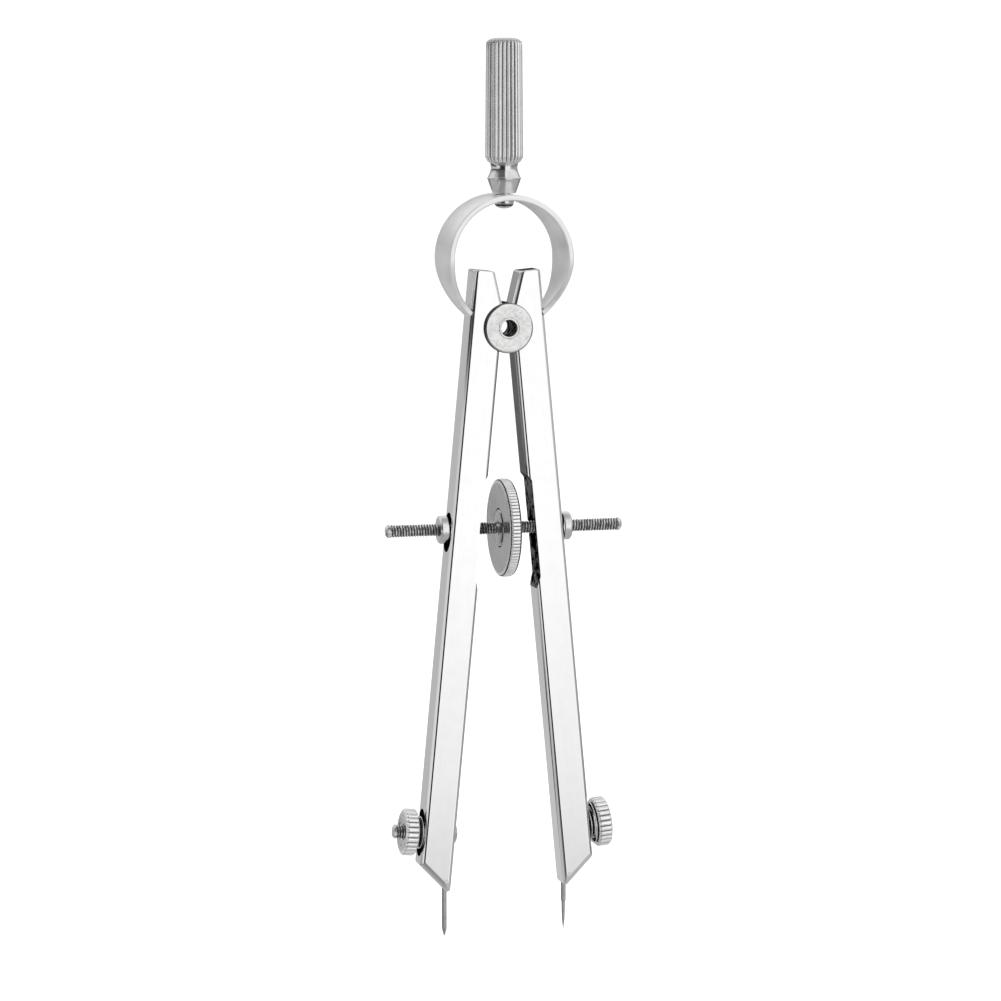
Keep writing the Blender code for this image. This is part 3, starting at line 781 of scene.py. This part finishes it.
def filleted_bar(outline, insets, radii, half, side):
    """A bar whose edges roll over from the front and rear faces to the sides."""
    shape = bmesh.new()
    rolls = []
    for k in range(FILLET_STEPS + 1):
        angle = math.pi / 2 * k / FILLET_STEPS
        rolls.append((1 - math.sin(angle), half - FILLET_DEPTH * (1 - math.cos(angle))))
    levels = [(share, -y) for share, y in rolls] + list(reversed(rolls))
    rings = []
    for share, y in levels:
        corners = inset_outline(outline, [inset * share for inset in insets])
        ring = [shape.verts.new((side * p.x, y, -p.y)) for p in round_corners(corners, radii)]
        rings.append(ring)
    for a, b in zip(rings, rings[1:]):
        for k in range(len(a)):
            after = (k + 1) % len(a)
            shape.faces.new((a[k], a[after], b[after], b[k]))
    shape.faces.new(rings[0])
    shape.faces.new(list(reversed(rings[-1])))
    return shape


def make_leg(side):
    """A polished bar with filleted edges, then its machined cuts: the recess in bare metal, and
    painted shade inside the slots, holes and clamp pocket.
    """
    (inner, _, top), (outer, half, _) = leg_limits(side)
    outline = [Vector(point) for point in (
        (3.2 * MM, top),
        (outer, top),
        (outer, 96.85 * MM),
        (inner, 101.99 * MM),
        (inner, -3.3 * MM),
    )]
    insets = [TOP_FILLET, LONG_FILLET, END_FILLET, LONG_FILLET, LONG_FILLET]
    radii = [0.5 * MM, 0.4 * MM, 0.5 * MM, 0.49 * MM, 1.0 * MM]
    shape = filleted_bar(outline, insets, radii, half, side)
    leg = loose("leg", finish_mesh(shape, "bar"), LEG_CHROME, leg_frame(side))
    carve(leg, leg_cutters(side, inner, outer, half))
    mesh = leg.data
    bpy.data.objects.remove(leg)
    walls = [Vector((0, 1, 0))]
    for point, after in zip(outline, outline[1:] + outline[:1]):
        along = after - point
        walls.append(Vector((-along.y, 0, -side * along.x)).normalized())
    settle_normals(mesh, walls)
    node = LEG_NODE[side]
    add_piece(node + "_polished", mesh, [LEG_CHROME, BARE_CUT, PAINTED_SLOT_SHADE], LEG_BODY[side],
              node, leg_frame(side))


def settle_normals(mesh, walls):
    """Keeps each flat wall flat right up to the fillets that run into it."""
    mesh.shade_smooth()
    mesh.set_sharp_from_angle(angle=math.radians(24))
    normals = [Vector(corner.vector) for corner in mesh.corner_normals]
    flat, near = math.cos(math.radians(0.6)), math.cos(math.radians(20))
    both = walls + [-wall for wall in walls]
    touching = {}
    for face in mesh.polygons:
        for wall in both:
            if face.normal.dot(wall) > flat:
                for vertex in face.vertices:
                    touching.setdefault(vertex, []).append(wall)
    for face in mesh.polygons:
        for corner in face.loop_indices:
            for wall in touching.get(mesh.loops[corner].vertex_index, ()):
                if face.normal.dot(wall) > near:
                    normals[corner] = wall
    mesh.normals_split_custom_set(normals)


def leg_cutters(side, inner, outer, half):
    beyond = outer + 1 * MM
    recess_floor = inner + 0.8 * MM
    recess = [
        (inner - 1 * MM, 24.7 * MM),
        (recess_floor, 27.4 * MM),
        (recess_floor, 44.7 * MM),
        (inner - 1 * MM, 49.65 * MM),
    ]
    notch_floor = outer - 0.55 * MM
    notch = [
        (notch_floor, -2.7 * MM),
        (beyond, -3.1 * MM),
        (beyond, -1.6 * MM),
        (notch_floor, -1.6 * MM),
    ]
    flank_floor = inner + FLANK_SHAVE
    flank = [
        (inner - 1 * MM, 1 * MM),
        (flank_floor, 1 * MM),
        (flank_floor, 26.4 * MM),
        (inner - 1 * MM, 26.4 * MM),
    ]
    # The slot, nut seat, clamp pocket and hole cutters carry painted shade onto the walls they
    # cut.
    cutters = [
        outline_cutter(side, half - FILLET_DEPTH, flank, GROUND_FLANK),
        outline_cutter(side, half + 1 * MM, recess, BARE_CUT),
        outline_cutter(side, half + 1 * MM, notch, LEG_CHROME),
        slot_cutter(side, *SPINDLE_SLOT, 0, beyond, PAINTED_SLOT_SHADE),
    ]
    start, end, width, deep = NUT_SEAT
    cutters.append(slot_cutter(side, start, end, width, outer - deep, beyond, PAINTED_SLOT_SHADE))
    seat = axis_frame(PIVOT, (0, 1, 0))
    cutters.append(round_cutter(2.55 * MM, -5 * MM, 5 * MM, seat, BARE_CUT))
    clamp_v = (PIVOT - clamp_frame(side).translation).length
    length, width, deep = CLAMP_POCKET
    cutters.append(slot_cutter(side, clamp_v - length / 2, clamp_v + length / 2, width,
                               outer - deep, beyond, PAINTED_EDGE_SHADE))
    low = 0 if side < 0 else 2.75 * MM
    cutters.append(round_cutter(1.5 * MM, low, beyond, clamp_frame(side), PAINTED_SLOT_SHADE))
    needle = "left_needle" if side < 0 else "right_needle"
    spot = (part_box(needle)[0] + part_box(needle)[1]) / 2
    hole = Matrix.Translation((spot.x, 0, 0))
    cutters.append(round_cutter(NEEDLE_HOLE_R, 0, 38 * MM, hole, PAINTED_SLOT_SHADE))
    return cutters


# ---------------------------------------------------------------- clamps and needles

THUMB_NUT_TEETH = 27
THUMB_SCREW_TEETH = 28


def make_washer(side):
    node = "left_clamp_washer" if side < 0 else "right_clamp_washer"
    low, high = 7.06 * MM, 7.46 * MM
    bore = 1.42 * MM
    profile = [
        (bore, high, 0.05 * MM),
        (2.5 * MM, high, 0.15 * MM),
        (2.9 * MM, low + 0.15 * MM, 0.1 * MM),
        (2.9 * MM, low, 0.04 * MM),
        (bore, low),
    ]
    mesh = finish_mesh(lathe(profile, 96, closed=True), node + "_detail")
    add_piece(node + "_domed", mesh, [BRIGHT_NICKEL], LEG_BODY[side], node,
              clamp_frame(side))


def make_eye_bolt():
    inner = 0.93 * MM
    end = 12.05 * MM
    radius = 1.3 * MM
    pitch = 0.5 * MM
    profile = [(0, end), (radius - 0.35 * MM, end, 0.06 * MM)]
    profile += threaded_rows(radius, end - 0.3 * MM, 5.6 * MM, pitch, 0.18 * MM, pitch)
    profile += [
        (1.35 * MM, 5.1 * MM, 0.06 * MM),
        (1.35 * MM, inner, 0.03 * MM),
        (1.85 * MM, inner, 0.12 * MM, 0, 1),
        (1.6 * MM, inner - 0.4 * MM, 0.25 * MM, 0, 1),
        (0.8 * MM, inner - 0.62 * MM, 0.3 * MM, 0, 1),
        (0, inner - 0.65 * MM, 0, 0, 1),
    ]
    shape = lathe(profile, 48, cut=thread(pitch, 1))
    bolt = loose("bolt", finish_mesh(shape, "bolt"), THREAD_STEEL, clamp_frame(-1))
    bolt.data.materials.append(BRIGHT_NICKEL)
    spot = (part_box("left_needle")[0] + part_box("left_needle")[1]) / 2
    hole = Matrix.Translation((spot.x, 0, 0))
    # The needle hole's wall takes painted shade.
    carve(bolt, [round_cutter(NEEDLE_HOLE_R, 10 * MM, 28 * MM, hole, PAINTED_SLOT_SHADE)])
    mesh = bolt.data
    bpy.data.objects.remove(bolt)
    mesh.shade_smooth()
    mesh.set_sharp_from_angle(angle=math.radians(50))
    add_piece("left_clamp_bolt_threaded", mesh, [THREAD_STEEL, BRIGHT_NICKEL, PAINTED_SLOT_SHADE],
              LEG_BODY[-1], "left_clamp_bolt", clamp_frame(-1))


def make_thumb_nut():
    rim = 4.2 * MM
    face, top = 7.98 * MM, 10.45 * MM
    hub = 7.56 * MM
    bore = 1.42 * MM
    depth = 0.3 * MM
    # Material 2, on the face and hub towards the leg, is painted shade.
    profile = [
        (bore, top - 0.35 * MM, 0.04 * MM),
        (1.65 * MM, top - 0.2 * MM, 0.06 * MM),
        (2.3 * MM, top - 0.2 * MM, 0.08 * MM),
        (2.65 * MM, top - 0.02 * MM, 0.08 * MM),
        (rim - 0.65 * MM, top, 0.15 * MM, 0, 1),
        (rim - 0.2 * MM, top - 0.2 * MM, 0.12 * MM, depth * 0.6, 1),
        (rim, top - 0.4 * MM, 0.1 * MM, depth, 1),
        (rim, face + 0.4 * MM, 0.1 * MM, depth, 1),
        (rim - 0.2 * MM, face + 0.15 * MM, 0.12 * MM, depth * 0.6, 1),
        (rim - 0.7 * MM, face, 0.15 * MM, 0, 2),
        (2.75 * MM, face, 0.1 * MM, 0, 2),
        (2.6 * MM, hub, 0.1 * MM, 0, 2),
        (bore, hub, 0, 0, 2),
    ]
    shape = lathe(profile, THUMB_NUT_TEETH * 12, closed=True, cut=teeth(THUMB_NUT_TEETH, 0.3))
    mesh = finish_mesh(shape, "thumb_nut", 60)
    add_piece("left_thumb_nut_knurled", mesh, [BRIGHT_NICKEL, KNURLED_NICKEL, PAINTED_EDGE_SHADE],
              "left_clamp_nut", "left_thumb_nut", clamp_frame(-1))


def make_thumb_screw():
    rim = 4.45 * MM
    top, hub = 10.75 * MM, 7.56 * MM
    depth = 0.3 * MM
    pitch = 0.45 * MM
    # Material 2, on the step under the knurled rim, is painted shade.
    profile = [
        (0, top - 0.22 * MM),
        (2.3 * MM, top - 0.22 * MM, 0.1 * MM),
        (2.75 * MM, top - 0.02 * MM, 0.1 * MM),
        (rim - 0.75 * MM, top, 0.15 * MM, 0, 1),
        (rim - 0.2 * MM, top - 0.22 * MM, 0.12 * MM, depth * 0.6, 1),
        (rim, top - 0.45 * MM, 0.1 * MM, depth, 1),
        (rim, 8.5 * MM, 0.1 * MM, depth, 1),
        (rim - 0.2 * MM, 8.25 * MM, 0.1 * MM, depth * 0.6, 1),
        (rim - 0.6 * MM, 8.16 * MM, 0.08 * MM),
        (3.1 * MM, 8.15 * MM, 0.03 * MM, 0, 2),
        (3.1 * MM, 7.95 * MM, 0.03 * MM, 0, 2),
        (3.75 * MM, 7.92 * MM, 0.06 * MM),
        (3.75 * MM, 7.75 * MM, 0.06 * MM),
        (3.3 * MM, hub, 0.06 * MM),
        (1.1 * MM, hub),
    ]
    profile += threaded_rows(1.1 * MM, hub - 0.1 * MM, 3.95 * MM, pitch, 0.16 * MM, pitch, 3)
    profile += [(0.7 * MM, 3.5 * MM, 0.05 * MM, 0, 3), (0, 3.5 * MM, 0, 0, 3)]
    straight, helix = teeth(THUMB_SCREW_TEETH, 0.3), thread(pitch, 1)

    def cut(angle, height):
        return straight(angle, height) if height > hub else helix(angle, height)

    mesh = finish_mesh(lathe(profile, THUMB_SCREW_TEETH * 12, cut=cut), "thumb_screw", 60)
    add_piece("right_thumb_screw_knurled", mesh,
              [BRIGHT_NICKEL, KNURLED_NICKEL, PAINTED_EDGE_SHADE, THREAD_STEEL], "right_clamp_screw",
              "right_thumb_screw", clamp_frame(1))


def make_needle(side):
    node = "left_needle" if side < 0 else "right_needle"
    low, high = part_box(node)
    radius = (high.y - low.y) / 2
    place = Matrix.Translation(((low.x + high.x) / 2, 0, low.z))
    top = high.z - low.z
    if side < 0:
        profile = [
            (0, top),
            (radius, top, 0.08 * MM),
            (radius, 1.2 * MM, 0.4 * MM),
            (0.1 * MM, 0.06 * MM, 0.08 * MM),
            (0, 0),
        ]
    else:
        profile = [
            (0, top),
            (radius, top, 0.08 * MM),
            (radius, 5.25 * MM, 0.05 * MM),
            (radius - 0.1 * MM, 4.95 * MM, 0.1 * MM),
            (0.25 * MM, 1.7 * MM, 0.5 * MM),
            (0.05 * MM, 0.05 * MM, 0.05 * MM),
            (0, 0),
        ]
    mesh = finish_mesh(lathe(profile, 40), node + "_detail")
    body = "left_point" if side < 0 else "right_point"
    add_piece(node + "_ground", mesh, [NEEDLE_STEEL], body, node, place)


# ---------------------------------------------------------------- studio

FLOOR_DROP = 8 * MM
FLOOR_RADIUS = 4.0
FLOOR_GREY = 0.93
TENT_STRENGTH = 1.2


def plain(name, grey):
    made = bpy.data.materials.new(name)
    made.use_nodes = True
    shader = made.node_tree.nodes["Principled BSDF"]
    shader.inputs["Base Color"].default_value = (grey, grey, grey, 1.0)
    shader.inputs["Roughness"].default_value = 0.9
    return made


def add_floor():
    """A wide pale floor, far enough down for a needle that is slid right out."""
    shape = bmesh.new()
    bmesh.ops.create_circle(shape, cap_ends=True, radius=FLOOR_RADIUS, segments=96)
    floor = loose("floor", finish_mesh(shape, "floor"), plain("floor_paper", FLOOR_GREY))
    floor.location = (0, 0, -FLOOR_DROP)
    floor.visible_glossy = False


# What polished metal sees round it, as (height of the ray, (turn in degrees, grey), ...), from
# the table up to the ceiling. Turn is 0 towards the viewer's side and grows to the left.
FLAGS = (
    (-0.85, ((-180, 0.46), (-4, 0.46), (6, 0.34), (70, 0.34), (90, 0.46), (180, 0.46))),
    (-0.50, ((-180, 0.46), (-4, 0.50), (6, 0.22), (62, 0.22), (80, 0.46), (180, 0.46))),
    (-0.36, ((-180, 0.50), (-160, 0.38), (-56, 0.44), (-40, 0.72), (-2, 0.72), (7, 0.12),
             (54, 0.12), (68, 0.54), (150, 0.54), (180, 0.54))),
    (-0.30, ((-180, 0.45), (-160, 0.32), (-46, 0.34), (-34, 1.10), (-22, 1.10), (-18, 0.52),
             (-12, 0.52), (-8, 1.10), (1, 1.10), (7, 0.04), (46, 0.04), (56, 0.74), (80, 0.74),
             (88, 0.08), (157, 0.08), (162, 0.58), (180, 0.58))),
    (-0.25, ((-180, 0.40), (-160, 0.26), (-46, 0.28), (-34, 1.10), (-22, 1.10), (-18, 0.62),
             (-12, 0.62), (-8, 1.10), (1, 1.10), (7, 0.02), (46, 0.02), (56, 0.80), (80, 0.80),
             (88, 0.06), (157, 0.06), (162, 0.56), (180, 0.56))),
    (-0.20, ((-180, 0.34), (-160, 0.20), (-44, 0.22), (-34, 1.10), (-22, 1.10), (-18, 0.91),
             (-12, 0.91), (-8, 1.10), (1, 1.10), (7, 0.02), (46, 0.02), (56, 0.88), (80, 0.88),
             (88, 0.04), (157, 0.04), (162, 0.50), (180, 0.50))),
    (-0.13, ((-180, 0.45), (-160, 0.30), (-56, 0.34), (-38, 1.05), (1, 1.10), (7, 0.02),
             (46, 0.02), (58, 0.78), (120, 0.70), (140, 0.49), (180, 0.49))),
    (0.008, ((-180, 0.46), (-160, 0.48), (-56, 0.52), (-36, 0.74), (-30, 1.05), (1, 1.10),
             (8, 0.03), (46, 0.03), (60, 0.64), (120, 0.56), (140, 0.48), (180, 0.48))),
    (0.030, ((-180, 0.05), (-150, 0.06), (-120, 0.14), (-56, 0.20), (-34, 1.10), (1, 1.10),
             (8, 0.02), (72, 0.02), (80, 0.24), (88, 0.02), (120, 0.05), (140, 0.30),
             (180, 0.30))),
    (0.12, ((-180, 0.05), (-150, 0.06), (-120, 0.40), (-34, 1.05), (1, 1.05), (8, 0.04),
            (72, 0.04), (80, 0.24), (88, 0.05), (118, 0.08), (150, 0.32), (180, 0.32))),
    (0.40, ((-180, 0.90), (1, 0.96), (8, 0.10), (80, 0.12), (108, 0.80), (180, 0.90))),
    (0.75, ((-180, 0.85), (-36, 0.80), (1, 1.05), (9, 0.10), (62, 0.12), (80, 0.66),
            (180, 0.85))),
    (0.97, ((-180, 0.45), (180, 0.45))),
)


def add_world():
    """A white tent, with dark and grey flags round it that only reflections see."""
    world = bpy.data.worlds.new("tent")
    world.use_nodes = True
    bpy.context.scene.world = world
    n = Nodes(world.node_tree)
    way = n.add("ShaderNodeTexCoord").outputs["Generated"]
    split = n.add("ShaderNodeSeparateXYZ")
    n.link(way, split.inputs[0])
    across = n.math("MULTIPLY", split.outputs["X"], -1.0)
    toward = n.math("MULTIPLY", split.outputs["Y"], -1.0)
    turn = n.math("ARCTAN2", across, toward)
    share = n.remap(turn, -math.pi, math.pi, 0.0, 1.0)
    seen = None
    for i, (height, stops) in enumerate(FLAGS):
        ring = n.ramp(share, [((degrees + 180.0) / 360.0, grey) for degrees, grey in stops])
        if seen is None:
            seen = ring
            continue
        mix = n.add("ShaderNodeMix", data_type="RGBA")
        below = FLAGS[i - 1][0]
        n.link(n.remap(split.outputs["Z"], below, height, 0.0, 1.0), mix.inputs["Factor"])
        n.link(seen, mix.inputs["A"])
        n.link(ring, mix.inputs["B"])
        seen = mix.outputs["Result"]
    flags = n.add("ShaderNodeBackground")
    n.link(seen, flags.inputs["Color"])
    tent = n.add("ShaderNodeBackground")
    tent.inputs["Color"].default_value = (1.0, 1.0, 1.0, 1.0)
    tent.inputs["Strength"].default_value = TENT_STRENGTH
    path = n.add("ShaderNodeLightPath")
    choose = n.add("ShaderNodeMixShader")
    n.link(path.outputs["Is Glossy Ray"], choose.inputs[0])
    n.link(tent.outputs[0], choose.inputs[1])
    n.link(flags.outputs[0], choose.inputs[2])
    out = n.add("ShaderNodeOutputWorld")
    n.link(choose.outputs[0], out.inputs["Surface"])


def add_light(name, place, target, size, power):
    data = bpy.data.lights.new(name, "AREA")
    data.shape = "DISK"
    data.size = size
    data.energy = power
    light = bpy.data.objects.new(name, data)
    bpy.context.scene.collection.objects.link(light)
    light.location = place
    light.rotation_euler = (Vector(target) - Vector(place)).to_track_quat("-Z", "Y").to_euler()
    light.visible_glossy = False


def add_camera():
    """Long lens from the left, level with the handle and looking slightly down."""
    azimuth = math.radians(-15)
    distance = 0.637
    height = PIVOT.z + 0.0483
    place = Vector((distance * math.sin(azimuth), -distance * math.cos(azimuth), height))
    aim = Vector((-0.0006, 0.0002, PIVOT.z - 0.0309))
    data = bpy.data.cameras.new("camera")
    data.lens = 129.9
    data.sensor_width = 36.0
    camera = bpy.data.objects.new("camera", data)
    bpy.context.scene.collection.objects.link(camera)
    camera.location = place
    camera.rotation_euler = (aim - place).to_track_quat("-Z", "Y").to_euler()
    bpy.context.scene.camera = camera


def make_object():
    make_handle()
    make_handle_screw()
    make_fulcrum()
    make_spindle()
    make_wheel()
    make_eye_bolt()
    make_thumb_nut()
    make_thumb_screw()
    for side in (-1, 1):
        make_hoop_half(side)
        make_collar_nut(side)
        make_leg(side)
        make_washer(side)
        make_needle(side)


add_camera()
add_world()
add_floor()
add_light("key", (-0.5, -0.6, 0.9), (0, 0, 0.08), 0.7, 9.0)
make_object()
scene = bpy.context.scene
scene.view_settings.view_transform = "Standard"
